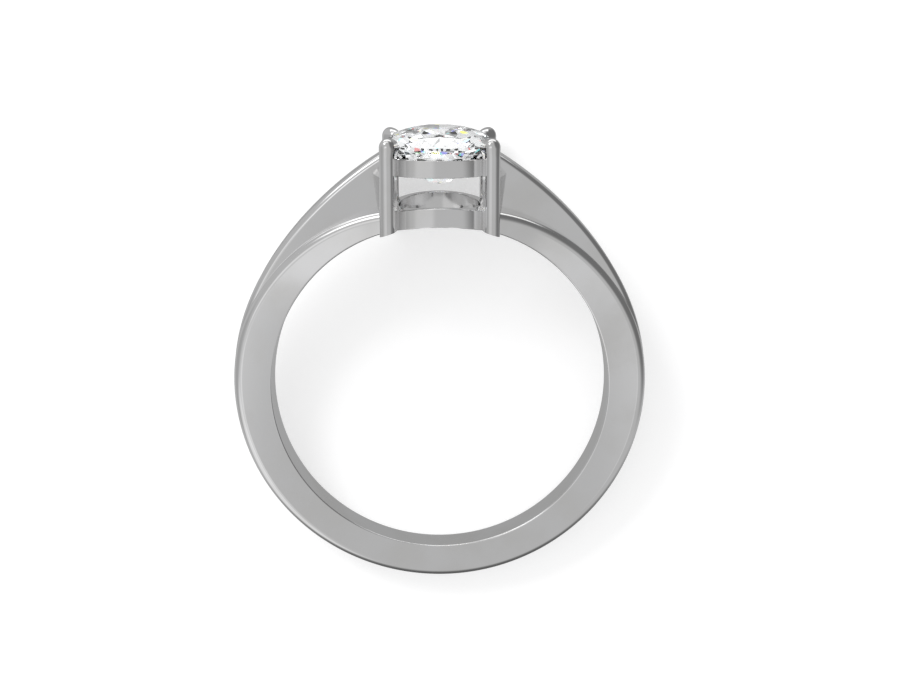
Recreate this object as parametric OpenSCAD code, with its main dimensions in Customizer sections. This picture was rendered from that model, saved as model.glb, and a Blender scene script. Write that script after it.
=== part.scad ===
// Solitaire ring, lying on its side as it rests by itself.
//
// Every shape is first made "flat": X to the right, Y from the finger hole towards the head,
// Z along the finger hole's axis. The module resting() then leans the whole ring back onto
// its base rail and the lower edge of the band, with Z up and the floor at Z = 0.
// All sizes are in millimetres.

/* [Finger hole] */
// Diameter of the finger hole
finger_d = 17; // [15:0.1:20]
// Bevel along both edges of the finger hole
finger_bevel = 0.08; // [0.04:0.01:0.15]

/* [Band] */
// Thickness of the band at the bottom, opposite the head
band_thick_bottom = 1.71; // [1.4:0.05:2.2]
// Thickness of the band at its left and right sides
band_thick_side = 1.93; // [1.6:0.05:2.4]
// Width of the band at the bottom, along the finger
band_w_bottom = 1.74; // [1.6:0.05:3]
// Gain in width from the bottom up to the sides of the band
band_w_gain = 0.48; // [0.1:0.02:1]
// Extra width that flares out where the band meets the head
band_flare = 1.86; // [1:0.05:2.2]
// Angle above the band's sides at which the flare starts
band_flare_from = 15; // [5:1:30]
// Radius of the band's rounded outer edges
band_round = 0.45; // [0.2:0.05:0.6]
// How much the band thins for each degree on its way to the head
band_thinning = 0.0195; // [0.01:0.0005:0.02]
// Angle above the band's sides at which it starts to thin
band_thin_from = 16.5; // [10:0.5:25]

/* [Shoulders] */
// Thickness of a shoulder plate
shoulder_thick = 1.7; // [1.2:0.05:2]
// Radius of a shoulder's rounded top edges
shoulder_round = 0.33; // [0.15:0.01:0.5]
// Height of a shoulder's top above the finger hole's wall, where it meets the head
shoulder_rise = 3.285; // [3.1:0.05:3.35]
// Downward slope of a shoulder's top as it leaves the head
shoulder_slope = 31.5; // [28:0.5:36]

/* [Head] */
// Half length of the head's oval across the ring
head_a = 2.9; // [2.8:0.01:3]
// Half length of the head's oval along the finger
head_b = 3.28; // [3.2:0.01:3.35]
// Squareness of the ovals, where 2 is a true ellipse
squareness = 2.25; // [2.2:0.01:2.3]
// Height of the base rail
base_rail_h = 0.93; // [0.7:0.01:1.1]
// Height of the upper rail
upper_rail_h = 0.85; // [0.6:0.01:1]
// Top of the upper rail above the finger hole's wall
upper_rail_top = 3.23; // [3.2:0.01:3.26]
// How far a side wall bows out between its two claws, where it bows out most
wall_bow = 0.45; // [0.35:0.01:0.5]

/* [Claws] */
// Radius of a claw's outer, round side
claw_r = 0.38; // [0.34:0.01:0.42]
// Place of a claw across the ring
claw_x = 2.53; // [2.5:0.01:2.56]
// Place of a claw along the finger
claw_z = 2.78; // [2.75:0.01:2.81]
// Height of the claws' tips above the finger hole's wall
claw_top = 4.25; // [4.2:0.01:4.3]
// How far a claw's tip leans in over the stone
claw_lean = 0.13; // [0.05:0.01:0.16]

/* [Stone] */
// Half length of the stone across the ring
stone_a = 2.75; // [2.7:0.01:2.78]
// Half length of the stone along the finger
stone_b = 3.15; // [3.1:0.01:3.18]
// Bottom of the stone's girdle above the finger hole's wall
girdle_rise = 3.7; // [3.66:0.01:3.74]
// Height of the girdle
girdle_h = 0.08; // [0.05:0.01:0.12]
// Height of the crown above the girdle
crown_h = 0.76; // [0.7:0.01:0.82]
// Size of the table as a share of the stone
table_share = 0.4; // [0.36:0.01:0.44]
// Depth of the pavilion below the girdle
pavilion_h = 2; // [1.95:0.01:2.05]
// Gap left all round between the stone and the metal
seat_gap = 0.04; // [0.03:0.01:0.06]

/* [Hidden] */

METAL = "silver";
GEM = [0.93, 0.96, 1, 0.55];

finger_r = finger_d / 2;
// The band ends inside the head, this far from the middle of the head.
head_half_angle = 15;
// The band's flare counts as full at this angle from the middle of the head.
flare_full_angle = 17.5;
// Steps of the band's sweep, of a rounded edge and of an oval
BAND_STEPS = 80;
ROUND_STEPS = 4;
OVAL_STEPS = 48;
SHOULDER_STEPS = 18;
CLAW_SIDES = 20;

// Faces of the finger hole and of the saddle over the base rail
HOLE_FN = 180;
// The true round wall of the finger hole stands this little in front of the band's flared sides,
// starts this angle away from the band's ends, and is this thick.
SLEEVE_PROUD = 0.01;
SLEEVE_SHORT = 8.5;
SLEEVE_THICK = 0.4;
// How far the head's pieces start below the finger hole's wall, before the hole is cut
FOOT_DEPTH = 1;

function polar(r, angle) = [r * cos(angle), r * sin(angle)];
// Angle above the band's sides, from -90 at the bottom to 90 at the head
function climb(angle) = asin(sin(angle));
// A ramp that is flat below 0, rises one for one above it and bends over a width of soft
function soft_ramp(x, soft) = (sqrt(x * x + soft * soft) + x) / 2;

// Outer radius of the band at an angle round the finger hole
function band_outer(angle) =
    let (rise = band_thick_side - band_thick_bottom)
    finger_r + band_thick_side + rise * sin(angle)
    - band_thinning * soft_ramp(climb(angle) - band_thin_from, 8);

// Half width of the band at an angle round the finger hole
function band_half_w(angle) =
    let (span = 90 - flare_full_angle - band_flare_from,
         flare = max(0, climb(angle) - band_flare_from) / span)
    (band_w_bottom + band_w_gain * (1 + sin(angle)) + band_flare * flare * flare) / 2;

// Half of a cross-section of the band as [radius, height], from the finger hole outwards
function band_half_section(outer, half_w) =
    [
        [finger_r + SLEEVE_PROUD, half_w - finger_bevel],
        [finger_r + SLEEVE_PROUD + finger_bevel, half_w],
        for (i = [0:ROUND_STEPS])
            let (turn = 90 * i / ROUND_STEPS)
            [outer - band_round * (1 - sin(turn)), half_w - band_round * (1 - cos(turn))]
    ];

function mirrored(half) = [for (i = [len(half) - 1:-1:0]) [half[i][0], -half[i][1]]];

function band_ring(angle) =
    let (half = band_half_section(band_outer(angle), band_half_w(angle)))
    [for (p = concat(half, mirrored(half))) [p[0] * cos(angle), p[0] * sin(angle), p[1]]];

// A point of a cubic curve through two ends and two handles
function cubic(p0, p1, p2, p3, t) =
    let (s = 1 - t)
    s * s * s * p0 + 3 * s * s * t * p1 + 3 * s * t * t * p2 + t * t * t * p3;
function cubic_slope(p0, p1, p2, p3, t) =
    let (s = 1 - t)
    3 * s * s * (p1 - p0) + 6 * s * t * (p2 - p1) + 3 * t * t * (p3 - p2);

// The top line of a shoulder: its two ends and its two handles. It starts just under the band's
// outer wall and ends just inside the side wall of the head.
shoulder_start = [finger_r + band_thick_side - 0.07, 0];
shoulder_start_handle = shoulder_start + [0.35, 5.1];
shoulder_end = [head_a + 0.05, finger_r + shoulder_rise];
shoulder_end_handle = shoulder_end + polar(4.12, -shoulder_slope);
// The foot of a shoulder runs inside the band at this radius, from the first angle to the second.
shoulder_foot_r = finger_r + 0.6;
shoulder_foot_angles = [2, 72];
// A shoulder runs on into the upper rail by this share of its own length.
SHOULDER_REACH = 1.015;

// Side of the oval with half lengths a and b at an angle in its plane
function oval(a, b, angle) =
    let (c = cos(angle), s = sin(angle), n = squareness,
         r = pow(pow(abs(c) / a, n) + pow(abs(s) / b, n), -1 / n))
    [r * c, r * s];

// A closed solid through rings of points, one after another
module loft(rings) {
    n = len(rings[0]);
    last = len(rings) - 1;
    points = [for (ring = rings) each ring];
    sides = [
        for (i = [0:last - 1], k = [0:n - 1])
            let (a = i * n + k, b = i * n + (k + 1) % n)
            each [[a, b, b + n], [a, b + n, a + n]]
    ];
    first_cap = [[for (k = [n - 1:-1:0]) k]];
    last_cap = [[for (k = [0:n - 1]) last * n + k]];
    polyhedron(points, concat(first_cap, sides, last_cap));
}

// The loop of the band, open where the head stands
module band() {
    sweep = 360 - 2 * head_half_angle;
    loft([
        for (i = [0:BAND_STEPS])
            band_ring(90 - head_half_angle - sweep * i / BAND_STEPS)
    ]);
}

// The true round wall of the finger hole, along the band's inside and a little shorter than it
module sleeve() {
    half = band_w_bottom / 2 - finger_bevel;
    half_angle = head_half_angle + SLEEVE_SHORT;
    rotate_extrude(angle = 360 - 2 * half_angle, start = 90 + half_angle, $fn = HOLE_FN)
        translate([finger_r, -half])
            square([SLEEVE_THICK, 2 * half]);
}

// One cross-section of a shoulder: its top edge is on the top line, its foot inside the band
function shoulder_ring(t) =
    let (
        top = cubic(shoulder_start, shoulder_start_handle, shoulder_end_handle, shoulder_end, t),
        slope = cubic_slope(shoulder_start, shoulder_start_handle, shoulder_end_handle,
                            shoulder_end, t),
        foot = polar(shoulder_foot_r, shoulder_foot_angles * [1 - t, t]),
        down = (foot - top) / norm(foot - top),
        inward = [-slope[1], slope[0]] / norm(slope),
        step = shoulder_round / (down * inward),
        half = shoulder_thick / 2,
        side = [
            [foot, half],
            for (i = [0:ROUND_STEPS])
                let (turn = 90 * i / ROUND_STEPS)
                [top + down * step * (1 - sin(turn)), half - shoulder_round * (1 - cos(turn))]
        ]
    )
    [
        for (p = side) [p[0][0], p[0][1], p[1]],
        for (i = [len(side) - 1:-1:0]) [side[i][0][0], side[i][0][1], -side[i][1]]
    ];

module shoulder() {
    loft([for (i = [SHOULDER_STEPS:-1:0]) shoulder_ring(SHOULDER_REACH * i / SHOULDER_STEPS)]);
}

// A flat oval plate standing across the head, from one height to another
module oval_plate(a, b, low, high) {
    translate([0, high, 0])
        rotate([90, 0, 0])
            linear_extrude(high - low)
                polygon([for (k = [0:OVAL_STEPS - 1]) oval(a, b, (k + 0.5) * 360 / OVAL_STEPS)]);
}

module oval_rail(wall_a, wall_b, low, high) {
    difference() {
        oval_plate(head_a, head_b, low, high);
        oval_plate(head_a - wall_a, head_b - wall_b, low - 1, high + 1);
    }
}

// The rail on the finger hole's wall, whose top follows the finger's curve
module base_rail() {
    wall = [0.87, 0.45];
    intersection() {
        oval_rail(wall[0], wall[1], finger_r - 1.2 * FOOT_DEPTH, finger_r + base_rail_h + 0.2);
        cylinder(h = 4 * head_b, r = finger_r + base_rail_h, center = true, $fn = HOLE_FN);
    }
}

module upper_rail() {
    wall = [0.7, 0.64];
    top = finger_r + upper_rail_top;
    oval_rail(wall[0], wall[1], top - upper_rail_h, top);
}

// The wall between a front and a back claw, curved in plan, that a shoulder runs into
module side_wall() {
    half_length = claw_z - 0.3;
    end_x = claw_x + claw_r - 0.01;
    inner_x = head_a - 0.47;
    half_steps = 4;
    // Levels of the wall as [height, bow there]
    levels = [
        [finger_r - FOOT_DEPTH, -0.15],
        [finger_r + 2.36, wall_bow],
        [finger_r + 2.59, wall_bow - 0.25]
    ];
    loft([
        for (level = levels)
            let (height = level[0], bow = level[1])
            [
                [inner_x, height, -half_length],
                for (i = [-half_steps:half_steps])
                    let (share = i / half_steps)
                    [end_x + bow * (1 - share * share), height, half_length * share],
                [inner_x, height, half_length]
            ]
    ]);
}

// Outline point of the tightest band round an outer and an inner circle, in a direction
function claw_point(outer, outer_r, inner, inner_r, dir) =
    outer * dir + outer_r >= inner * dir + inner_r
        ? outer + outer_r * dir
        : inner + inner_r * dir;

// One level of the claw at the right and near side: height, lean inwards and shrink.
// The claw's outline is the band round an outer and a smaller inner circle.
claw_inner_r = 0.27;
claw_inner_offset = [-0.19, -0.27];
claw_inward = [-0.5, -0.87];
function claw_ring(height, lean, shrink) =
    let (
        outer = [claw_x, claw_z] + claw_inward * lean / 4,
        inner = [claw_x, claw_z] + claw_inner_offset + claw_inward * lean
    )
    [
        for (k = [0:CLAW_SIDES - 1])
            let (p = claw_point(outer, claw_r * (1 + lean / 2) * shrink,
                                outer + (inner - outer) * shrink,
                                (claw_inner_r + lean / 2) * shrink,
                                polar(1, k * 360 / CLAW_SIDES)))
            [p[0], height, p[1]]
    ];

module claw() {
    dome_r = 0.46;
    dome_from = finger_r + claw_top - dome_r;
    dome_step = 18;
    tip_share = 0.12;
    // Straight part of a claw as [height, share of the lean]
    column = [
        [finger_r - FOOT_DEPTH, 0],
        [finger_r + 3.3, 0],
        [finger_r + 3.45, 0.25],
        [finger_r + 3.6, 0.75],
        [dome_from, 1]
    ];
    loft([
        for (level = column) claw_ring(level[0], claw_lean * level[1], 1),
        for (turn = [dome_step:dome_step:90 - dome_step])
            claw_ring(dome_from + dome_r * sin(turn), claw_lean, cos(turn)),
        claw_ring(dome_from + dome_r, claw_lean, tip_share)
    ]);
}

// Both halves of what is made for the right side
module left_and_right() {
    children();
    mirror([1, 0, 0]) children();
}

module near_and_far() {
    children();
    mirror([0, 0, 1]) children();
}

// Corner points of the stone, grown outwards by a gap, as [x, height, z]
function stone_points(gap) =
    let (
        low = finger_r + girdle_rise,
        high = low + girdle_h,
        // Tiers of corners as [share of the outline, height, first angle step, count]
        tiers = [
            [table_share, high + crown_h, 0.5, 8],
            [0.565, high + crown_h * 0.868, 0, 8],
            [0.797, high + crown_h * 0.64, 0, 8],
            [0.833, high + crown_h * 0.54, 0.5, 8],
            [1, high, 0, 32],
            [1, low, 0, 32],
            [0.853, low - pavilion_h * 0.213, 0.5, 8],
            [0.584, low - pavilion_h * 0.558, 0, 8],
            [0.238, low - pavilion_h * 0.909, 0, 8],
            [0.02, low - pavilion_h, 0, 8]
        ]
    )
    [
        for (tier = tiers, k = [0:tier[3] - 1])
            let (p = oval(stone_a * tier[0] + gap, stone_b * tier[0] + gap,
                          (k + tier[2]) * 360 / tier[3]))
            [p[0], tier[1] + (tier[1] > high ? gap : tier[1] < low ? -gap : 0), p[1]]
    ];

module cut_stone(gap) {
    points = stone_points(gap);
    hull()
        polyhedron(points, [for (k = [0:len(points) - 3]) [k, k + 1, k + 2]]);
}

module flat_mount() {
    band();
    sleeve();
    left_and_right() shoulder();
    difference() {
        union() {
            left_and_right() {
                side_wall();
                near_and_far() claw();
            }
            base_rail();
            upper_rail();
        }
        cylinder(h = 4 * head_b, r = finger_r, center = true, $fn = HOLE_FN);
        cut_stone(seat_gap);
    }
}

// Leans the ring back onto its base rail and the band's lower edge, and centres it on the floor
module resting() {
    // The base rail's lowest corner is on the finger hole's wall, here as [towards the head, height].
    foot = [finger_r, -head_b];
    // Centre of the band's rounded lower edge at the bottom of the ring
    edge = [band_round - band_outer(-90), band_round - band_half_w(-90)];
    reach = foot - edge;
    lean = atan(-reach[1] / reach[0]) - asin(band_round / norm(reach));
    lift = -(foot * [sin(lean), cos(lean)]);
    // The ring's two ends on the floor: the table's far edge and the bottom of the band
    table = [
        finger_r + girdle_rise + girdle_h + crown_h,
        oval(table_share * stone_a, table_share * stone_b, 67.5)[1]
    ];
    head_end = table * [cos(lean), sin(lean)];
    band_end = edge * [cos(lean), sin(lean)] - band_round;
    translate([0, -(head_end + band_end) / 2, lift])
        rotate([lean, 0, 0])
            children();
}

module mount() {
    color(METAL) resting() flat_mount();
}

module stone() {
    color(GEM) resting() cut_stone(0);
}

mount();
stone();
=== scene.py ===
"""A solitaire ring with an oval stone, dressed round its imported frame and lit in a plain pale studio."""

import logging
import math
from dataclasses import dataclass, field
from enum import Enum
from typing import Callable, Sequence

import bmesh
import bpy
import numpy as np
from mathutils import Matrix, Vector
from mathutils.bvhtree import BVHTree


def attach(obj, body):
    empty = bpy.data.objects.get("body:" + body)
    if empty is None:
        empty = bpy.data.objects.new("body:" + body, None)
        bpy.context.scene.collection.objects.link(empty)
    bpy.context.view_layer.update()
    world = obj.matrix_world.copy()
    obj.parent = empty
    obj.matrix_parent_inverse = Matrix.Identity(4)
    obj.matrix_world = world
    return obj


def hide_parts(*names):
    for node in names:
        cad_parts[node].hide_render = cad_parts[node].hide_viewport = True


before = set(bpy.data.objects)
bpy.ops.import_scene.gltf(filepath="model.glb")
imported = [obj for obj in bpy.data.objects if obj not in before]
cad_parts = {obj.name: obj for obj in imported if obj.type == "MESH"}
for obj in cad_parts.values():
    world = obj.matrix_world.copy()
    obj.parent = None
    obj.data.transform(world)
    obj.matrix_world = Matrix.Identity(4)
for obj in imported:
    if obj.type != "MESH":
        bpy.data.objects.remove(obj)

LOG = logging.getLogger("ring")
MM = 0.001
SHARP_DEG = 28.0
SMALLEST_AREA = 1e-18
SHARE_SLACK = 0.5

Ring = Sequence[Sequence[float]]
Triple = tuple[float, float, float]
Socket = bpy.types.NodeSocket
Value = float | tuple[float, ...] | Vector | Socket


class Side(Enum):
    """The two halves of the ring, as the sign of X."""

    LEFT = -1.0
    RIGHT = 1.0


class Face(Enum):
    """The ring's two faces along the finger, as the sign of the finger axis."""

    FAR = -1.0
    NEAR = 1.0


class Axis(Enum):
    """The flat drawing's axes: across the ring, from the finger to the head, and up from the page."""

    ACROSS = (1.0, 0.0, 0.0)
    ALONG = (0.0, 1.0, 0.0)
    UPRIGHT = (0.0, 0.0, 1.0)


@dataclass(frozen=True)
class RestPose:
    """How the ring lies: the lean, in degrees, and the shift, in millimetres, of its flat drawing."""

    lean: float = 7.507772
    shift: Triple = (0.0, -1.451234, 2.141265)

    def matrix(self) -> Matrix:
        """Returns the move from the flat drawing, in millimetres, to the frame, in metres."""
        turn = Matrix.Rotation(math.radians(self.lean), 4, "X")
        return Matrix.Scale(MM, 4) @ Matrix.Translation(self.shift) @ turn

    def point(self, flat: Sequence[float]) -> Vector:
        """Returns a point of the flat drawing in the frame."""
        return self.matrix() @ Vector(flat)

    def direction(self, flat: Sequence[float]) -> Vector:
        """Returns a direction of the flat drawing in the frame, one unit long."""
        return (self.matrix().to_3x3() @ Vector(flat)).normalized()


@dataclass(frozen=True)
class Hole:
    """The finger hole: its radius, and the bevel along its edges, in millimetres."""

    radius: float = 8.5
    bevel: float = 0.09
    bevel_steps: int = 4


REST = RestPose()
HOLE = Hole()


class Shell:
    """A closed surface of the flat drawing, in millimetres, that is one part of the ring."""

    def __init__(self, name: str, verts: np.ndarray, faces: list[list[int]]) -> None:
        """Keeps the surface.

        Args:
            name: What the part is, in plain words.
            verts: One row a corner.
            faces: The corners of each face, turned outwards.
        """
        self.name = name
        self.verts = np.asarray(verts, float)
        self.faces = faces

    def mirrored(self, axis: int) -> "Shell":
        """Returns the shell's mirror image.

        Args:
            axis: 0 for left and right, 2 for near and far.

        Returns:
            A new shell with its faces turned outwards.
        """
        verts = self.verts.copy()
        verts[:, axis] *= -1.0
        return Shell(self.name, verts, [face[::-1] for face in self.faces])

    def mesh(self, number: int = 0) -> bpy.types.Mesh:
        """Makes the shell's mesh, smooth but for its sharp edges.

        Args:
            number: The part's number, kept on each face.

        Returns:
            A mesh in millimetres.
        """
        mesh = bpy.data.meshes.new(self.name)
        mesh.from_pydata([tuple(v) for v in self.verts], [], self.faces)
        mesh.shade_smooth()
        mesh.set_sharp_from_angle(angle=math.radians(SHARP_DEG))
        kept = mesh.attributes.new("part_no", "INT", "FACE")
        kept.data.foreach_set("value", np.full(len(mesh.polygons), number, np.int32))
        mesh.update()
        return mesh


def loft(name: str, rings: Sequence[Ring], closed: bool = False) -> Shell:
    """Joins rings of points, one after another.

    Args:
        name: What the part is.
        rings: Rings with the same count of points, which turn right-handed as the rings go on.
        closed: True if the last ring meets the first, and False if both ends are capped.

    Returns:
        The closed shell.
    """
    n, count = len(rings[0]), len(rings)
    verts = np.array([p for ring in rings for p in ring], float)
    faces: list[list[int]] = []
    for i in range(count if closed else count - 1):
        here, there = i * n, ((i + 1) % count) * n
        faces += [[here + k, here + (k + 1) % n, there + (k + 1) % n, there + k] for k in range(n)]
    if not closed:
        faces.append(list(range(n - 1, -1, -1)))
        faces.append([(count - 1) * n + k for k in range(n)])
    shell = Shell(name, verts, faces)
    return shell if signed_volume(shell) > 0 else Shell(name, verts, [f[::-1] for f in faces])


def signed_volume(shell: Shell) -> float:
    """Measures a shell, to tell which way its faces are turned.

    Args:
        shell: The shell.

    Returns:
        Six times the volume inside it, below zero if its faces are turned inwards.
    """
    fans = [(face[0], face[k], face[k + 1]) for face in shell.faces for k in range(1, len(face) - 1)]
    a, b, c = (shell.verts[column] for column in np.array(fans).T)
    return float(np.einsum("ij,ij->", a, np.cross(b, c)))


def both_sides(right: Shell) -> list[Shell]:
    """Returns the left and the right one of a part that is there twice."""
    return [right if side is Side.RIGHT else right.mirrored(0) for side in Side]


def read(items: bpy.types.bpy_prop_collection, name: str, kind: type, width: int = 1) -> np.ndarray:
    """Reads one property of many items at once.

    Args:
        items: Blender's items.
        name: The property.
        kind: int or float.
        width: How many numbers an item has.

    Returns:
        The numbers in a row, or in one row an item if it has several.
    """
    values = np.zeros(len(items) * width, np.int32 if kind is int else np.float32)
    items.foreach_get(name, values)
    return values.reshape(-1, width) if width > 1 else values


def barycentric(p: np.ndarray, a: np.ndarray, b: np.ndarray, c: np.ndarray) -> np.ndarray:
    """Shares of three corners at points of their triangles.

    Args:
        p: One point a row.
        a: First corners.
        b: Second corners.
        c: Third corners.

    Returns:
        Three shares a row, which add up to one.
    """
    ab, ac, ap = b - a, c - a, p - a
    d00, d01, d11 = (np.einsum("ij,ij->i", x, y) for x, y in ((ab, ab), (ab, ac), (ac, ac)))
    d20, d21 = (np.einsum("ij,ij->i", ap, y) for y in (ab, ac))
    area = np.maximum(d00 * d11 - d01 * d01, SMALLEST_AREA)
    v, w = (d11 * d20 - d01 * d21) / area, (d00 * d21 - d01 * d20) / area
    return np.clip(np.stack([1 - v - w, v, w], axis=1), -SHARE_SLACK, 1 + SHARE_SLACK)


def put(name: str, data: bpy.types.ID) -> bpy.types.Object:
    """Puts something into the scene.

    Args:
        name: The object's name.
        data: Its mesh, lamp or camera.

    Returns:
        The object.
    """
    obj = bpy.data.objects.new(name, data)
    bpy.context.scene.collection.objects.link(obj)
    return obj


def quarter(radius: float, steps: int) -> list[tuple[float, float]]:
    """Points of a rounded corner, as what it takes off along one side and off the other.

    Args:
        radius: The corner's radius.
        steps: How many steps the quarter turn has.

    Returns:
        Pairs from (radius, 0) to (0, radius).
    """
    turns = [math.pi / 2 * i / steps for i in range(steps + 1)]
    return [(radius * (1 - math.sin(t)), radius * (1 - math.cos(t))) for t in turns]


@dataclass
class Band:
    """The loop round the finger, which widens and thins on its way to the head. Sizes in millimetres."""

    thick_bottom: float = 1.71
    thick_side: float = 1.93
    width_bottom: float = 1.74
    width_gain: float = 0.48
    flare: float = 1.86
    flare_from: float = 15.0
    rounding: float = 0.45
    thinning: float = 0.0195
    thin_from: float = 16.5
    thin_bend: float = 8.0
    head_half_angle: float = 15.0
    full_angle: float = 17.5
    inset: float = 0.006
    steps: int = 440
    round_steps: int = 12

    def outer(self, angle: float) -> float:
        """Outer radius of the band.

        Args:
            angle: Degrees round the finger hole, 90 at the head.

        Returns:
            The radius in millimetres.
        """
        rise = math.sin(math.radians(angle))
        over = math.degrees(math.asin(rise)) - self.thin_from
        ramp = (math.hypot(over, self.thin_bend) + over) / 2
        gain = (self.thick_side - self.thick_bottom) * rise
        return HOLE.radius + self.thick_side + gain - self.thinning * ramp

    def half_width(self, angle: float) -> float:
        """Half width of the band along the finger.

        Args:
            angle: Degrees round the finger hole, 90 at the head.

        Returns:
            The half width in millimetres.
        """
        rise = math.sin(math.radians(angle))
        span = 90 - self.full_angle - self.flare_from
        share = max(0.0, math.degrees(math.asin(rise)) - self.flare_from) / span
        return (self.width_bottom + self.width_gain * (1 + rise) + self.flare * share**3) / 2

    def ring(self, angle: float) -> list[Triple]:
        """The band's cross-section.

        Args:
            angle: Degrees round the finger hole, 90 at the head.

        Returns:
            Points of the flat drawing.
        """
        outer, half, inner = self.outer(angle), self.half_width(angle), HOLE.radius + self.inset
        side = [(inner + q, half - p) for p, q in quarter(HOLE.bevel, HOLE.bevel_steps)]
        side += [(outer - p, half - q) for p, q in quarter(self.rounding, self.round_steps)]
        c, s = math.cos(math.radians(angle)), math.sin(math.radians(angle))
        whole = side + [(r, -w) for r, w in reversed(side)]
        return [(r * c, r * s, w) for r, w in whole]

    def shells(self) -> list[Shell]:
        """Sweeps the band round the finger, open where the head stands.

        Returns:
            The band as one shell.
        """
        sweep = 360 - 2 * self.head_half_angle
        angles = [90 - self.head_half_angle - sweep * i / self.steps for i in range(self.steps + 1)]
        return [loft("band", [self.ring(a) for a in angles])]


@dataclass
class Shoulders:
    """The two upright plates that rise from the band to the head. Sizes in millimetres."""

    thick: float = 1.7
    rounding: float = 0.33
    start: tuple[float, float] = (10.36, 0.0)
    start_handle: tuple[float, float] = (10.71, 5.1)
    end: tuple[float, float] = (2.95, 11.785)
    slope: float = 31.5
    end_pull: float = 4.12
    foot_radius: float = 9.1
    foot_from: float = 2.0
    foot_to: float = 72.0
    reach: float = 1.015
    steps: int = 120
    round_steps: int = 10

    def top(self, t: float) -> tuple[np.ndarray, np.ndarray]:
        """The top line of a shoulder.

        Args:
            t: 0 at the band and 1 at the head.

        Returns:
            The point and the direction of the line there.
        """
        p0, p1, p3 = (np.array(p, float) for p in (self.start, self.start_handle, self.end))
        down = math.radians(self.slope)
        p2 = p3 + self.end_pull * np.array([math.cos(down), -math.sin(down)])
        s = 1 - t
        point = s**3 * p0 + 3 * s * s * t * p1 + 3 * s * t * t * p2 + t**3 * p3
        slope = 3 * s * s * (p1 - p0) + 6 * s * t * (p2 - p1) + 3 * t * t * (p3 - p2)
        return point, slope / np.linalg.norm(slope)

    def ring(self, t: float) -> list[Triple]:
        """A shoulder's cross-section, from its foot inside the band over its rounded top.

        Args:
            t: 0 at the band and 1 at the head.

        Returns:
            Points of the flat drawing.
        """
        top, along = self.top(t)
        angle = math.radians(self.foot_from + (self.foot_to - self.foot_from) * t)
        foot = self.foot_radius * np.array([math.cos(angle), math.sin(angle)])
        down = (foot - top) / np.linalg.norm(foot - top)
        inward = np.array([-along[1], along[0]])
        stretch, half = 1 / float(down @ inward), self.thick / 2
        side = [(foot, half)]
        side += [(top + down * stretch * p, half - q) for p, q in quarter(self.rounding, self.round_steps)]
        whole = side + [(p, -w) for p, w in reversed(side)]
        return [(float(p[0]), float(p[1]), w) for p, w in whole]

    def shells(self) -> list[Shell]:
        """Returns the right and the left shoulder."""
        right = loft("shoulder", [self.ring(self.reach * i / self.steps) for i in range(self.steps + 1)])
        return both_sides(right)


@dataclass
class Oval:
    """An oval of the head or the stone, a little squarer than an ellipse. Half lengths in millimetres."""

    across: float = 2.9
    along: float = 3.28
    squareness: float = 2.25

    def point(self, angle: float, inset: tuple[float, float] = (0.0, 0.0)) -> tuple[float, float]:
        """A point of the outline.

        Args:
            angle: Degrees in the oval's plane, 90 at the near side.
            inset: What is taken off both half lengths.

        Returns:
            X and Z of the flat drawing.
        """
        c, s = math.cos(math.radians(angle)), math.sin(math.radians(angle))
        a, b, n = self.across - inset[0], self.along - inset[1], self.squareness
        r = (abs(c / a) ** n + abs(s / b) ** n) ** (-1 / n)
        return r * c, r * s


@dataclass
class Rails:
    """The base rail on the finger hole's edge and the upper rail under the stone. Sizes in millimetres."""

    oval: Oval = field(default_factory=Oval)
    base_wall: tuple[float, float] = (0.87, 0.45)
    base_height: float = 0.93
    upper_wall: tuple[float, float] = (0.7, 0.64)
    upper_top: float = 3.23
    upper_height: float = 0.85
    edge: float = 0.045
    steps: int = 220
    edge_steps: int = 3

    def rail(self, name: str, wall: tuple[float, float], low: Callable[[float], float],
             high: Callable[[float], float]) -> Shell:
        """Sweeps a rail's softly broken rectangle round the oval.

        Args:
            name: What the rail is.
            wall: Its thickness across and along the finger.
            low: The height of its underside at an X.
            high: The height of its top at an X.

        Returns:
            The closed shell.
        """
        rings = []
        for i in range(self.steps):
            angle = 360 * (i + 0.5) / self.steps
            out_x, out_z = self.oval.point(angle)
            in_x, in_z = self.oval.point(angle, wall)
            gap = math.hypot(out_x - in_x, out_z - in_z)
            ring = []
            for outer_side, top_side in ((True, False), (True, True), (False, True), (False, False)):
                corner = quarter(self.edge, self.edge_steps)
                if outer_side != top_side:
                    corner = corner[::-1]
                for p, q in corner:
                    share = q / gap if outer_side else 1 - q / gap
                    x, z = out_x + (in_x - out_x) * share, out_z + (in_z - out_z) * share
                    ring.append((x, high(x) - p if top_side else low(x) + p, z))
            rings.append(ring)
        return loft(name, rings, closed=True)

    def shells(self) -> list[Shell]:
        """Sweeps both rails.

        Returns:
            The base rail, which follows the finger's curve, and the flat upper rail.
        """
        base_r, top = HOLE.radius + self.base_height, HOLE.radius + self.upper_top
        return [
            self.rail("base_rail", self.base_wall, lambda x: math.sqrt(HOLE.radius**2 - x * x),
                      lambda x: math.sqrt(base_r**2 - x * x)),
            self.rail("upper_rail", self.upper_wall, lambda x: top - self.upper_height, lambda x: top),
        ]


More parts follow.
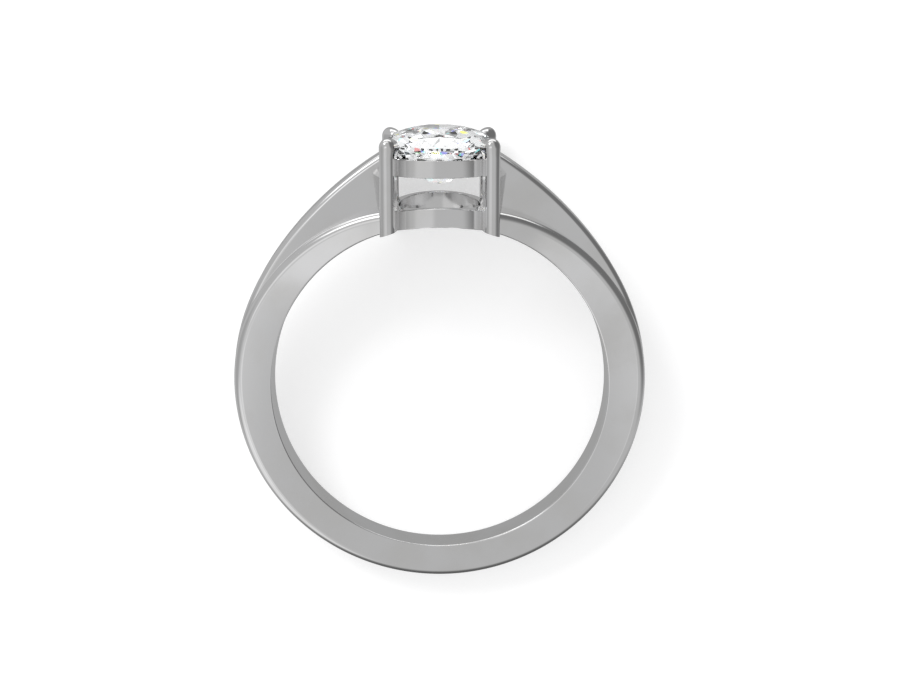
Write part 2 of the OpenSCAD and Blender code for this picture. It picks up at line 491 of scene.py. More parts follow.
@dataclass
class SideWalls:
    """The curved walls between a near and a far claw, which the shoulders run into. In millimetres.

    The levels pair a height over the finger hole with how far a wall bows out there.
    """

    half_length: float = 2.48
    end_x: float = 2.9
    inner_x: float = 2.43
    levels: tuple[tuple[float, float], ...] = ((0.0, 0.03), (2.33, 0.445), (2.37, 0.435), (2.59, 0.2))
    steps: int = 40

    def outline(self, height: float, bow: float) -> list[Triple]:
        """The wall's outline at one level.

        Args:
            height: How high the level is over the finger hole, 0 for the hole's own curve.
            bow: How far the wall bows out there.

        Returns:
            Points of the flat drawing.
        """
        points = [(self.inner_x, -self.half_length)]
        for i in range(-self.steps, self.steps + 1):
            share = i / self.steps
            points.append((self.end_x + bow * (1 - share * share), self.half_length * share))
        points.append((self.inner_x, self.half_length))
        foot = HOLE.radius + height
        return [(x, foot if height else math.sqrt(HOLE.radius**2 - x * x), z) for x, z in points]

    def shells(self) -> list[Shell]:
        """Returns the right and the left wall."""
        right = loft("side_wall", [self.outline(height, bow) for height, bow in self.levels])
        return both_sides(right)


@dataclass
class Claws:
    """The four upright claws with domed tips that lean in over the stone. Sizes in millimetres.

    A claw is round outside, and a smaller circle, the inner one, rounds it off towards the stone. It
    starts to lean at bend_from. Of the lean, outer_follow is the share that the outer circle takes, and
    swell the share by which the claw thickens.
    """

    x: float = 2.53
    z: float = 2.78
    radius: float = 0.38
    inner_radius: float = 0.27
    inner_offset: tuple[float, float] = (-0.19, -0.27)
    inward: tuple[float, float] = (-0.5, -0.87)
    top: float = 4.25
    lean: float = 0.13
    outer_follow: float = 0.25
    swell: float = 0.5
    dome: float = 0.46
    bend_from: float = 3.3
    sides: int = 96
    dome_steps: int = 22
    lean_steps: int = 10

    def outline(self, lean: float, shrink: float) -> list[tuple[float, float]]:
        """The band round an outer and a smaller inner circle.

        Args:
            lean: How far the claw leans in at this level.
            shrink: The outline's share of its full size.

        Returns:
            X and Z of each corner.
        """
        inward = np.array(self.inward)
        outer = np.array([self.x, self.z]) + inward * lean * self.outer_follow
        inner = np.array([self.x, self.z]) + np.array(self.inner_offset) + inward * lean
        inner = outer + (inner - outer) * shrink
        outer_r = self.radius * (1 + lean * self.swell) * shrink
        inner_r = (self.inner_radius + lean * self.swell) * shrink
        points = []
        for k in range(self.sides):
            turn = 2 * math.pi * k / self.sides
            way = np.array([math.cos(turn), math.sin(turn)])
            on_outer = outer @ way + outer_r >= inner @ way + inner_r
            point = outer + outer_r * way if on_outer else inner + inner_r * way
            points.append((float(point[0]), float(point[1])))
        return points

    def lean_at(self, height: float) -> float:
        """How far a claw leans in, eased along its bend.

        Args:
            height: Height over the finger hole.

        Returns:
            The lean in millimetres.
        """
        start, end = self.bend_from, self.top - self.dome
        share = min(1.0, max(0.0, (height - start) / (end - start)))
        return self.lean * share * share * (3 - 2 * share)

    def shells(self) -> list[Shell]:
        """Raises one claw from the finger hole's curve and mirrors it to all four places.

        Returns:
            The four claws.
        """
        bend, dome_from = self.bend_from, self.top - self.dome
        levels: list[tuple[float | None, float]] = [(None, 1.0), (bend / 2, 1.0)]
        levels += [(bend + (dome_from - bend) * i / self.lean_steps, 1.0)
                   for i in range(self.lean_steps + 1)]
        for i in range(1, self.dome_steps):
            turn = math.pi / 2 * i / self.dome_steps
            levels.append((dome_from + self.dome * math.sin(turn), math.cos(turn)))
        rings = []
        for height, shrink in levels:
            lean = self.lean_at(height or 0.0)
            rings.append([
                (x, math.sqrt(HOLE.radius**2 - x * x) if height is None else HOLE.radius + height, z)
                for x, z in self.outline(lean, shrink)
            ])
        near = both_sides(loft("claw", rings))
        return [claw if face is Face.NEAR else claw.mirrored(2) for claw in near for face in Face]


@dataclass(frozen=True)
class Tier:
    """A ring of facets of the stone. Lengths in millimetres.

    Attributes:
        name: What jewellers call the facets.
        first: The angle of the first facet, in degrees.
        count: How many facets there are.
        upper: True above the girdle, and False below it.
        height: How high the facets' planes pass over the girdle's edge.
        share: How far out an inner point of the planes is, as a share of the outline.
        rise: How far that point is above the planes' height at the girdle.
    """

    name: str
    first: float
    count: int
    upper: bool
    height: float
    share: float
    rise: float


@dataclass
class Stone:
    """The oval brilliant, cut facet by facet from a block as a cutter does. Sizes in millimetres.

    Attributes:
        oval: The girdle's outline.
        girdle_low: Height of the girdle's lower edge over the finger hole.
        girdle: Height of the girdle.
        crown: Height of the crown over the girdle.
        gap: The gap between the stone and the metal.
        girdle_sides: How many flats the girdle has.
        tangent_step: Degrees to either side for the outline's direction.
        block: Side of the uncut block.
        cut_tolerance: How near to a cut a corner counts as on it.
        weld: How near two corners are made one.
        tiers: The rings of facets.
    """

    oval: Oval = field(default_factory=lambda: Oval(2.75, 3.15))
    girdle_low: float = 3.7
    girdle: float = 0.08
    crown: float = 0.76
    gap: float = 0.04
    girdle_sides: int = 72
    tangent_step: float = 0.5
    block: float = 12.0
    cut_tolerance: float = 1e-7
    weld: float = 1e-4
    tiers: tuple[Tier, ...] = (
        Tier("star", 0.0, 8, True, 0.439, 0.37, 0.321),
        Tier("kite", 22.5, 8, True, 0.272, 0.4, 0.488),
        Tier("upper girdle", 11.25, 16, True, 0.0, 0.4, 1.337),
        Tier("lower girdle", 11.25, 16, False, 0.0, 0.5, -1.306),
        Tier("main", 22.5, 8, False, -0.103, 0.2, -1.76),
        Tier("culet", 22.5, 8, False, -1.175, 0.0, -0.825),
    )

    def base(self) -> float:
        """Returns the height of the girdle's lower edge in the flat drawing."""
        return HOLE.radius + self.girdle_low

    def facets(self) -> str:
        """Returns the stone's facets in words, for the log."""
        return ", ".join(["1 table", *(f"{tier.count} {tier.name}" for tier in self.tiers)])

    def edge_plane(self, angle: float, height: float, share: float, rise: float) -> tuple[Vector, Vector]:
        """A facet's plane over the girdle's outline and through a point further in.

        Args:
            angle: Degrees round the stone.
            height: The plane's height over the girdle's outline.
            share: How far out the inner point is, as a share of the outline.
            rise: How far the inner point is above that height.

        Returns:
            A point of the plane and its outward direction.
        """
        step = self.tangent_step
        p = np.array(self.oval.point(angle))
        q = np.array(self.oval.point(angle + step)) - np.array(self.oval.point(angle - step))
        across = np.array([q[1], -q[0]]) / np.linalg.norm(q)
        across = across if across @ p > 0 else -across
        run = float(across @ p) * (1 - share)
        up = 1.0 if rise > 0 else -1.0
        normal = Vector((across[0] * abs(rise), up * run, across[1] * abs(rise))).normalized()
        return Vector((p[0], height, p[1])), normal

    def planes(self) -> list[tuple[Vector, Vector]]:
        """Lists the planes that the stone is cut along.

        Returns:
            A point of each plane and its outward direction.
        """
        low, high = self.base(), self.base() + self.girdle
        made = [(Vector((0, high + self.crown, 0)), Vector((0, 1, 0)))]
        for k in range(self.girdle_sides):
            point, normal = self.edge_plane(360 * k / self.girdle_sides, low, 0.0, 1.0)
            made.append((point, Vector((normal.x, 0, normal.z)).normalized()))
        for tier in self.tiers:
            edge = high if tier.upper else low
            for k in range(tier.count):
                angle = tier.first + 360 * k / tier.count
                made.append(self.edge_plane(angle, edge + tier.height, tier.share, tier.rise))
        return made

    def shell(self, grown: float = 0.0) -> Shell:
        """Cuts the stone.

        Args:
            grown: How far every facet is moved outwards.

        Returns:
            The stone's shell.
        """
        bm = bmesh.new()
        bmesh.ops.create_cube(bm, size=self.block, matrix=Matrix.Translation((0, self.base(), 0)))
        for point, normal in self.planes():
            cut = bmesh.ops.bisect_plane(bm, geom=bm.verts[:] + bm.edges[:] + bm.faces[:],
                                         dist=self.cut_tolerance, plane_co=point + normal * grown,
                                         plane_no=normal, clear_outer=True)
            rim = [e for e in cut["geom_cut"] if isinstance(e, bmesh.types.BMEdge)]
            if rim:
                bmesh.ops.edgenet_fill(bm, edges=rim)
        bmesh.ops.remove_doubles(bm, verts=bm.verts[:], dist=self.weld)
        bmesh.ops.recalc_face_normals(bm, faces=bm.faces[:])
        bm.verts.index_update()
        shell = Shell("stone", np.array([v.co[:] for v in bm.verts]),
                      [[v.index for v in f.verts] for f in bm.faces])
        bm.free()
        return shell


class Smith:
    """Solders shells into one surface and keeps each part's own smooth shading.

    Attributes:
        nudge: How far a corner is moved towards its face's middle to find the part under the face.
    """

    nudge: float = 0.02

    def __init__(self) -> None:
        """Starts with an empty bench."""
        self.parts: list[Shell] = []

    def add(self, shells: list[Shell]) -> list[int]:
        """Puts shells on the bench.

        Args:
            shells: The parts.

        Returns:
            Their numbers.
        """
        first = len(self.parts)
        self.parts += shells
        return list(range(first, len(self.parts)))

    def piece(self, number: int) -> bpy.types.Object:
        """Returns a part as an object of its own."""
        return put(f"part_{number}", self.parts[number].mesh(number))

    def fuse(self, numbers: list[int], cutters: list[int]) -> bpy.types.Mesh:
        """Unites parts, then cuts others away.

        Args:
            numbers: The parts to unite.
            cutters: The parts to cut away.

        Returns:
            One closed mesh, in millimetres.
        """
        base = self.piece(numbers[0])
        others = [(self.piece(n), "UNION") for n in numbers[1:]]
        others += [(self.piece(n), "DIFFERENCE") for n in cutters]
        for other, way in others:
            step = base.modifiers.new(way, "BOOLEAN")
            step.operation, step.object, step.solver = way, other, "MANIFOLD"
        mesh = self.evaluated(base)
        for obj in [base, *(o for o, _ in others)]:
            self.scrap(obj)
        return mesh

    def evaluated(self, obj: bpy.types.Object) -> bpy.types.Mesh:
        """Returns an object's mesh with its modifiers applied."""
        graph = bpy.context.evaluated_depsgraph_get()
        return bpy.data.meshes.new_from_object(obj.evaluated_get(graph), depsgraph=graph)

    def scrap(self, obj: bpy.types.Object) -> None:
        """Removes an object and its mesh.

        Args:
            obj: The object.
        """
        old = obj.data
        bpy.data.objects.remove(obj)
        bpy.data.meshes.remove(old)

    def smooth(self, mesh: bpy.types.Mesh) -> np.ndarray:
        """Finds each corner's direction on the part that its face came from.

        Args:
            mesh: A fused mesh, in millimetres.

        Returns:
            One direction a corner.
        """
        owners = read(mesh.attributes["part_no"].data, "value", int)
        verts = read(mesh.vertices, "co", float, 3)
        corner_verts = read(mesh.loops, "vertex_index", int)
        totals = read(mesh.polygons, "loop_total", int)
        middles = read(mesh.polygons, "center", float, 3)
        owner_face = np.repeat(np.arange(len(mesh.polygons)), totals)
        spots = verts[corner_verts]
        probes = spots + (middles[owner_face] - spots) * self.nudge
        directions = np.zeros((len(mesh.loops), 3))
        for number in np.unique(owners):
            own = np.nonzero(owners[owner_face] == number)[0]
            directions[own] = self.from_part(int(number), probes[own], spots[own])
        return directions

    def from_part(self, number: int, probes: np.ndarray, spots: np.ndarray) -> np.ndarray:
        """Reads a part's smooth directions at points of its surface.

        Args:
            number: The part's number.
            probes: A point inside the face that each direction is for.
            spots: Where each direction is read.

        Returns:
            One unit direction a spot.
        """
        part = self.piece(number)
        part.modifiers.new("weigh", "WEIGHTED_NORMAL").keep_sharp = True
        source = self.evaluated(part)
        self.scrap(part)
        source.calc_loop_triangles()
        corners = read(source.loop_triangles, "vertices", int, 3)
        loops = read(source.loop_triangles, "loops", int, 3)
        verts = read(source.vertices, "co", float, 3)
        normals = read(source.corner_normals, "vector", float, 3)
        tree = BVHTree.FromPolygons(verts.tolist(), corners.tolist())
        found = np.array([tree.find_nearest(p)[2] for p in probes.tolist()])
        a, b, c = (verts[corners[found, k]] for k in range(3))
        shares = barycentric(spots, a, b, c)
        made = sum(normals[loops[found, k]] * shares[:, k:k + 1] for k in range(3))
        bpy.data.meshes.remove(source)
        return made / np.linalg.norm(made, axis=1, keepdims=True)

    def solder(self, numbers: list[int], cutters: list[int]) -> bpy.types.Mesh:
        """Unites and cuts parts, and gives the result their own smooth shading, in the frame.

        Args:
            numbers: The parts to unite.
            cutters: The parts to cut away.

        Returns:
            One closed mesh, in metres, in the frame.
        """
        mesh = self.fuse(numbers, cutters)
        directions = self.smooth(mesh)
        mesh.transform(REST.matrix())
        turn = np.array(Matrix.Rotation(math.radians(REST.lean), 3, "X"))
        mesh.attributes.remove(mesh.attributes["part_no"])
        mesh.shade_smooth()
        mesh.normals_split_custom_set((directions @ turn.T).tolist())
        return mesh


class Nodes:
    """A small helper that lays out one node tree."""

    def __init__(self, tree: bpy.types.NodeTree) -> None:
        """Empties the tree."""
        self.tree = tree
        tree.nodes.clear()

    def add(self, kind: str, values: dict[str | int, Value] | None = None,
            **settings: object) -> bpy.types.Node:
        """Adds a node.

        Args:
            kind: Blender's name of the node.
            values: What its sockets get: a number, a colour or another node's output.
            settings: Properties of the node itself.

        Returns:
            The node.
        """
        node = self.tree.nodes.new(kind)
        for name, value in settings.items():
            setattr(node, name, value)
        for name, value in (values or {}).items():
            if isinstance(value, Socket):
                self.tree.links.new(value, node.inputs[name])
            else:
                node.inputs[name].default_value = value
        return node

    def math(self, operation: str, *values: Value) -> Socket:
        """Returns the result of a sum, product or other operation on values."""
        return self.add("ShaderNodeMath", dict(enumerate(values)), operation=operation).outputs[0]

    def span(self, value: Value, start: float, end: float, low: float, high: float) -> Socket:
        """Maps a value smoothly from one span to another.

        Args:
            value: The value's socket.
            start: Where the span starts.
            end: Where it ends.
            low: The result at its start.
            high: The result at its end.

        Returns:
            The result's socket.
        """
        node = self.add("ShaderNodeMapRange", {
            "Value": value, "From Min": start, "From Max": end, "To Min": low, "To Max": high},
            interpolation_type="SMOOTHSTEP")
        return node.outputs[0]

    def noise(self, place: Value, scale: float, detail: float) -> Socket:
        """Returns a noise value at a place, for a scale in spots a metre and its octaves of detail."""
        spots = {"Vector": place, "Scale": scale, "Detail": detail}
        return self.add("ShaderNodeTexNoise", spots).outputs[0]

    def mix(self, share: Value, first: Value, second: Value) -> Socket:
        """Returns a blend of two colours, which is the second where the share is 1."""
        colours = {0: share, 6: first, 7: second}
        return self.add("ShaderNodeMix", colours, data_type="RGBA").outputs[2]


def grey(amount: float) -> tuple[float, float, float, float]:
    """Returns a grey colour of an amount."""
    return amount, amount, amount, 1.0


@dataclass(frozen=True)
class Finish:
    """What the finishes have in common."""

    name: str

    def shader(self, n: Nodes) -> bpy.types.Node:
        """Each finish lays out its own shader in a tree, and returns it."""
        raise NotImplementedError

    def material(self) -> bpy.types.Material:
        """Makes the finish ready for a mesh.

        Returns:
            The material.
        """
        made = bpy.data.materials.new(self.name)
        made.use_nodes = True
        n = Nodes(made.node_tree)
        n.add("ShaderNodeOutputMaterial", {"Surface": self.shader(n).outputs[0]})
        return made


@dataclass(frozen=True)
class PolishedGold(Finish):
    """White gold, polished to a mirror that still shows its buffing lines. Lengths in metres.

    Attributes:
        name: The material's name.
        colour: The metal's colour.
        worn_colour: Its colour where it is worn.
        wear: The noise's values between which the wear sets in.
        rough_low: Roughness where the polish is best.
        rough_high: Roughness where it is worst.
        haze: The noise's values between which the polish gets worse.
        cloud: Size of the worn and hazy places.
        cloud_detail: Octaves of their noise.
        line: Width of a buffing line.
        line_stretch: A line's length in widths.
        line_turns: The ways that the lines run, in degrees.
        line_tilt: The tilt of each way, as a share of its turn.
        line_edge: The noise's values between which a line starts.
        line_depth: Depth of a line.
        line_bump: How strongly it bends the light.
        line_rough: Roughness that it adds.
    """

    name: str = "polished_white_gold"
    colour: Triple = (0.87, 0.87, 0.875)
    worn_colour: Triple = (0.82, 0.815, 0.81)
    wear: tuple[float, float] = (0.35, 0.7)
    rough_low: float = 0.07
    rough_high: float = 0.15
    haze: tuple[float, float] = (0.3, 0.72)
    cloud: float = 0.0025
    cloud_detail: float = 3.0
    line: float = 0.00004
    line_stretch: float = 22.0
    line_turns: Triple = (12.0, 74.0, 131.0)
    line_tilt: float = 0.6
    line_edge: tuple[float, float] = (0.62, 0.78)
    line_depth: float = 0.0000002
    line_bump: float = 0.5
    line_rough: float = 0.04

    def shader(self, n: Nodes) -> bpy.types.Node:
        """Lays out the metal.

        Args:
            n: The tree.

        Returns:
            The shader.
        """
        place = n.add("ShaderNodeTexCoord").outputs["Object"]
        cloud = n.noise(place, 1 / self.cloud, self.cloud_detail)
        lines = [self.lines(n, place, turn) for turn in self.line_turns]
        height = n.math("MAXIMUM", n.math("MAXIMUM", lines[0], lines[1]), lines[2])
        worn = n.span(cloud, *self.wear, 0.0, 1.0)
        colour = n.mix(worn, (*self.colour, 1), (*self.worn_colour, 1))
        rough = n.math("ADD", n.span(cloud, *self.haze, self.rough_low, self.rough_high),
                       n.math("MULTIPLY", height, self.line_rough))
        bump = n.add("ShaderNodeBump", {
            "Height": height, "Strength": self.line_bump, "Distance": self.line_depth})
        return n.add("ShaderNodeBsdfPrincipled", {
            "Base Color": colour, "Roughness": rough, "Metallic": 1.0, "Normal": bump.outputs[0]})

    def lines(self, n: Nodes, place: Socket, turn: float) -> Socket:
        """Returns fine buffing lines that run one way.

        Args:
            n: The tree.
            place: The place on the piece.
            turn: The way the lines run, in degrees.

        Returns:
            0 beside a line and up to 1 on it.
        """
        around, tilt = math.radians(turn), math.radians(self.line_tilt * turn)
        mapped = n.add("ShaderNodeMapping", {
            "Vector": place, "Rotation": (around, tilt, around),
            "Scale": (1 / self.line, 1 / (self.line * self.line_stretch), 1 / self.line)})
        return n.span(n.noise(mapped.outputs[0], 1.0, 1.0), *self.line_edge, 0.0, 1.0)


@dataclass(frozen=True)
class CutGem(Finish):
    """A colourless stone with a polish that is a little uneven from spot to spot. Lengths in metres.

    Attributes:
        name: The material's name.
        index: Its refractive index.
        tint: The colour that it gives to light.
        haze: Size of the less polished spots.
        haze_detail: Octaves of their noise.
        haze_edge: The noise's values between which a spot starts.
        haze_rough: Roughness in a spot.
    """

    name: str = "brilliant_stone"
    index: float = 2.42
    tint: Triple = (0.985, 0.988, 0.99)
    haze: float = 0.0006
    haze_detail: float = 4.0
    haze_edge: tuple[float, float] = (0.55, 0.8)
    haze_rough: float = 0.01

    def shader(self, n: Nodes) -> bpy.types.Node:
        """Lays out the stone.

        Args:
            n: The tree.

        Returns:
            The shader.
        """
        place = n.add("ShaderNodeTexCoord").outputs["Object"]
        spots = n.noise(place, 1 / self.haze, self.haze_detail)
        rough = n.span(spots, *self.haze_edge, 0.0, self.haze_rough)
        return n.add("ShaderNodeBsdfGlass", {
            "Color": (*self.tint, 1), "Roughness": rough, "IOR": self.index})


@dataclass(frozen=True)
class PaleFloor(Finish):
    """The studio's plain pale sheet, which is lit a little from below as on a light table."""

    name: str = "pale_sheet"
    colour: Triple = (0.6, 0.6, 0.603)
    rough: float = 0.85
    shine: float = 0.1
    lit: float = 0.5

    def shader(self, n: Nodes) -> bpy.types.Node:
        """Returns the sheet's shader, laid out in a tree."""
        return n.add("ShaderNodeBsdfPrincipled", {
            "Base Color": (*self.colour, 1), "Roughness": self.rough, "Specular IOR Level": self.shine,
            "Emission Color": grey(1.0), "Emission Strength": self.lit})


@dataclass
class Setting:
    """The ring's metal: band, shoulders and head, soldered into one piece."""

    band: Band = field(default_factory=Band)
    shoulders: Shoulders = field(default_factory=Shoulders)
    walls: SideWalls = field(default_factory=SideWalls)
    claws: Claws = field(default_factory=Claws)
    rails: Rails = field(default_factory=Rails)
    finish: PolishedGold = field(default_factory=PolishedGold)

    def build(self, stone: Stone) -> bpy.types.Object:
        """Makes the metal and cuts the stone's seat into it.

        Args:
            stone: The stone that the claws hold.

        Returns:
            The piece that stands for the frame's mount.
        """
        smith = Smith()
        groups = (self.band, self.shoulders, self.walls, self.claws, self.rails)
        metal = smith.add([shell for group in groups for shell in group.shells()])
        seat = smith.add([stone.shell(stone.gap)])
        mesh = smith.solder(metal, seat)
        mesh.materials.clear()
        mesh.materials.append(self.finish.material())
        piece = place_piece("mount_polished", mesh, "mount")
        piece.visible_transmission = False
        return piece


@dataclass
class Gem:
    """The stone as a piece of its own."""

    stone: Stone = field(default_factory=Stone)
    finish: CutGem = field(default_factory=CutGem)

    def build(self) -> bpy.types.Object:
        """Cuts and dresses the stone.

        Returns:
            The piece that stands for the frame's stone.
        """
        LOG.info("stone facets: %s", self.stone.facets())
        mesh = self.stone.shell().mesh()
        mesh.attributes.remove(mesh.attributes["part_no"])
        mesh.transform(REST.matrix())
        mesh.shade_flat()
        mesh.materials.append(self.finish.material())
        return place_piece("stone_cut", mesh, "stone")


def place_piece(name: str, mesh: bpy.types.Mesh, node: str) -> bpy.types.Object:
    """Puts a finished mesh into the scene in place of a node of the frame.

    Args:
        name: The piece's name.
        mesh: Its mesh, in the frame.
        node: The node that it stands for.

    Returns:
        The piece.
    """
    piece = put(name, mesh)
    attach(piece, "root")
    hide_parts(node)
    return piece


@dataclass(frozen=True)
class Glow:
    """A soft round patch of the studio's surroundings.

    Attributes:
        way: Where its middle is, as a direction of the flat drawing.
        reach: Degrees from its middle to its outer edge.
        core: Degrees from its middle to where it starts to fade.
        amount: The light that it adds, or takes away if below zero.
    """

    way: Triple
    reach: float
    core: float
    amount: float


@dataclass(frozen=True)
class Bar:
    """A long lamp: the part of a glow between two places along an axis of the flat drawing.

    Attributes:
        glow: The glow that it is cut from.
        axis: The axis.
        low: The sine of the angle where the bar starts.
        high: The sine of the angle where it ends.
        edge: How soft its two edges are.
    """

    glow: Glow
    axis: Axis
    low: float
    high: float
    edge: float


@dataclass(frozen=True)
class Softbox:
    """A square lamp that faces the ring. Lengths in metres."""

    place: Triple
    size: float
    power: float


@dataclass(frozen=True)
class Sparkle:
    """What shows through the stone: a pale tent with dark cards and small lamps, fringed with colour.

    Attributes:
        cells: How many cards lie along the width of the tent.
        fringe: How far the cards' blue and red edges are set apart, as a share of a card.
        fringe_way: The way that they are set apart.
        dark_below: The share of dark cards.
        bright_above: The share of cards that aren't lamps.
        levels: The light of a dark card, of the tent and of a lamp.
    """

    cells: float = 5.0
    fringe: float = 0.06
    fringe_way: Triple = (0.6, 1.0, -0.8)
    dark_below: float = 0.15
    bright_above: float = 0.8
    levels: Triple = (0.4, 1.15, 1.8)

    def light(self, n: Nodes, way: Socket) -> Socket:
        """Finds the light in a direction.

        Args:
            n: The world's tree.
            way: The direction that is looked in.

        Returns:
            The light's colour.
        """
        dark, tent, lamp = self.levels
        channels = []
        for step in (-1.0, 0.0, 1.0):
            shift = tuple(self.fringe / self.cells * step * part for part in self.fringe_way)
            moved = n.add("ShaderNodeVectorMath", {0: way, 1: shift}, operation="ADD").outputs[0]
            card = n.add("ShaderNodeTexVoronoi", {"Vector": moved, "Scale": self.cells}).outputs["Color"]
            pick = n.add("ShaderNodeSeparateColor", {"Color": card}).outputs[0]
            pale = n.math("GREATER_THAN", pick, self.dark_below)
            lit = n.math("GREATER_THAN", pick, self.bright_above)
            level = n.math("MULTIPLY_ADD", pale, tent - dark, dark)
            channels.append(n.math("MULTIPLY_ADD", lit, lamp - tent, level))
        return n.add("ShaderNodeCombineColor", dict(enumerate(channels))).outputs[0]


@dataclass
class Studio:
    """The floor, the lamps and the surroundings that the polished metal mirrors.

    Attributes:
        floor_size: Side of the floor in metres.
        floor_finish: The floor's finish.
        base: The even light that the metal mirrors everywhere.
        least: The least light that is left where dark cards overlap.
        fill: The light that falls on dull surfaces.
        backdrop: The light that the camera sees past the floor.
        glows: Soft lamps, which are seen in the claws and the left rim, and dark cards all round.
        bars: Two strip lamps, for the lines along the left arm, and faint ones for the faces and rails.
        sparkle: What shows through the stone.
        lamps: The lamps that light the floor.
    """

    floor_size: float = 1.2
    floor_finish: PaleFloor = field(default_factory=PaleFloor)
    base: float = 0.5
    least: float = 0.03
    fill: float = 0.82
    backdrop: float = 1.0
    glows: tuple[Glow, ...] = (
        Glow((-0.54, 0.68, 0.44), 15.0, 8.0, 1.0),
        Glow((-0.57, 0.1, 0.81), 12.0, 6.0, 0.17),
        Glow((-0.3, 0.18, 0.94), 9.0, 4.0, 0.5),
        Glow((-0.6, -0.65, 0.45), 30.0, 15.0, 0.3),
        Glow((-1.0, -0.15, 0.1), 30.0, 15.0, -0.1),
        Glow((1.0, 0.45, 0.05), 58.0, 28.0, -0.33),
        Glow((0.1, -1.0, -0.35), 55.0, 15.0, -0.38),
        Glow((0.0, 0.25, -1.0), 50.0, 25.0, -0.12),
    )
    bars: tuple[Bar, ...] = (
        Bar(Glow((-0.36, 0.9, 0.26), 31.0, 26.0, 0.6), Axis.UPRIGHT, 0.15, 0.4, 0.05),
        Bar(Glow((0.0, 1.0, 0.0), 45.0, 39.0, 0.95), Axis.UPRIGHT, -0.5, -0.14, 0.05),
        Bar(Glow((-0.4, -0.1, 0.9), 40.0, 20.0, 0.12), Axis.ACROSS, -0.62, -0.2, 0.15),
        Bar(Glow((-0.3, -0.32, 0.9), 13.0, 6.0, 0.13), Axis.ALONG, -1.0, -0.24, 0.05),
        Bar(Glow((0.24, -0.3, 0.92), 10.0, 4.0, 0.13), Axis.ALONG, -1.0, -0.24, 0.05),
    )
    sparkle: Sparkle = field(default_factory=Sparkle)
    lamps: tuple[Softbox, ...] = (Softbox((-0.12, 0.14, 0.12), 0.1, 0.29),)

    def build(self) -> None:
        """Lays the floor, hangs the lamps and paints the surroundings."""
        half = self.floor_size / 2
        mesh = bpy.data.meshes.new("floor")
        corners = [(-half, -half, 0), (half, -half, 0), (half, half, 0), (-half, half, 0)]
        mesh.from_pydata(corners, [], [(0, 1, 2, 3)])
        mesh.materials.append(self.floor_finish.material())
        floor = put("floor", mesh)
        floor.visible_glossy = floor.visible_transmission = False
        for number, lamp in enumerate(self.lamps):
            self.hang(number, lamp)
        self.surround()

    def hang(self, number: int, lamp: Softbox) -> None:
        """Hangs a lamp and turns it to the ring. A glow stands for it in what the metal mirrors.

        Args:
            number: Its number, for the name.
            lamp: The lamp.
        """
        light = bpy.data.lights.new(f"softbox_{number}", "AREA")
        light.shape, light.size, light.energy = "SQUARE", lamp.size, lamp.power
        obj = put(light.name, light)
        obj.location = lamp.place
        obj.rotation_euler = (-Vector(lamp.place)).to_track_quat("-Z", "Y").to_euler()
        obj.visible_glossy = False

    def surround(self) -> None:
        """Paints what the metal mirrors, behind a plain pale backdrop."""
        world = bpy.data.worlds.new("studio")
        bpy.context.scene.world = world
        world.use_nodes = True
        n = Nodes(world.node_tree)
        way = n.add("ShaderNodeTexCoord").outputs["Generated"]
        total = self.mirrored(n, way)
        ray = n.add("ShaderNodeLightPath").outputs
        for kind, light in (("Is Transmission Ray", self.sparkle.light(n, way)),
                            ("Is Diffuse Ray", grey(self.fill)), ("Is Camera Ray", grey(self.backdrop))):
            total = n.mix(ray[kind], total, light)
        paint = n.add("ShaderNodeBackground", {"Color": total})
        n.add("ShaderNodeOutputWorld", {"Surface": paint.outputs[0]})
        world.cycles.sampling_method = "NONE"

    def mirrored(self, n: Nodes, way: Socket) -> Socket:
        """Adds the glows and the bars to an even light.

        Args:
            n: The world's tree.
            way: The direction that is looked in.

        Returns:
            The strength of the light.
        """
        total: Value = self.base
        for glow in self.glows:
            total = n.math("ADD", total, self.patch(n, way, glow))
        for bar in self.bars:
            place = self.along(n, way, bar.axis.value)
            above = n.span(place, bar.low - bar.edge, bar.low, 0.0, 1.0)
            below = n.span(place, bar.high, bar.high + bar.edge, 1.0, 0.0)
            inside = n.math("MULTIPLY", above, below)
            total = n.math("MULTIPLY_ADD", inside, self.patch(n, way, bar.glow), total)
        return n.math("MAXIMUM", total, self.least)

    def along(self, n: Nodes, way: Socket, axis: Triple) -> Socket:
        """Returns how far a direction points along a direction of the flat drawing."""
        dot = n.add("ShaderNodeVectorMath", {0: way, 1: REST.direction(axis)}, operation="DOT_PRODUCT")
        return dot.outputs["Value"]

    def patch(self, n: Nodes, way: Socket, glow: Glow) -> Socket:
        """Returns the light of one glow in a direction."""
        edge, core = (math.cos(math.radians(angle)) for angle in (glow.reach, glow.core))
        return n.span(self.along(n, way, glow.way), edge, core, 0.0, glow.amount)


@dataclass
class PhotoCamera:
    """The photograph's camera, placed on the flat drawing in millimetres. Its clip span is in metres."""

    place: Triple = (-0.37, 21.05, 81.8)
    forward: Triple = (0.01064, -0.22285, -0.97479)
    upward: Triple = (0.00243, 0.97485, -0.22284)
    lens: float = 66.0
    sensor: float = 36.0
    clip: tuple[float, float] = (0.001, 10.0)

    def build(self) -> None:
        """Sets the camera up and makes it the scene's own."""
        data = bpy.data.cameras.new("photo_camera")
        data.lens, data.sensor_width = self.lens, self.sensor
        data.clip_start, data.clip_end = self.clip
        camera = put("photo_camera", data)
        back = -REST.direction(self.forward)
        right = REST.direction(self.upward).cross(back).normalized()
        turn = Matrix((right, back.cross(right), back)).transposed()
        camera.matrix_world = Matrix.Translation(REST.point(self.place)) @ turn.to_4x4()
        bpy.context.scene.camera = camera
        bpy.context.scene.view_settings.view_transform = "Standard"


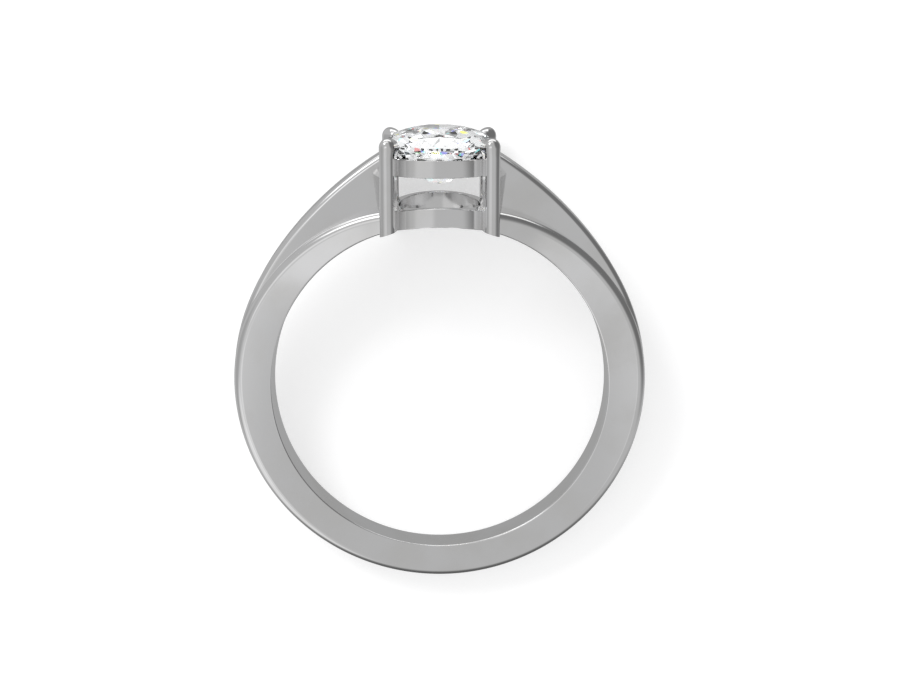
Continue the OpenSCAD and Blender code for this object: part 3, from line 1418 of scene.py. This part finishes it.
def main() -> None:
    """Builds the ring, the studio and the camera, and reports each piece."""
    logging.basicConfig(level=logging.INFO, format="%(message)s")
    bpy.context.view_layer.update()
    gem = Gem()
    for piece in (Setting().build(gem.stone), gem.build()):
        LOG.info("%s: %d faces", piece.name, len(piece.data.polygons))
    Studio().build()
    PhotoCamera().build()


if __name__ == "__main__":
    main()
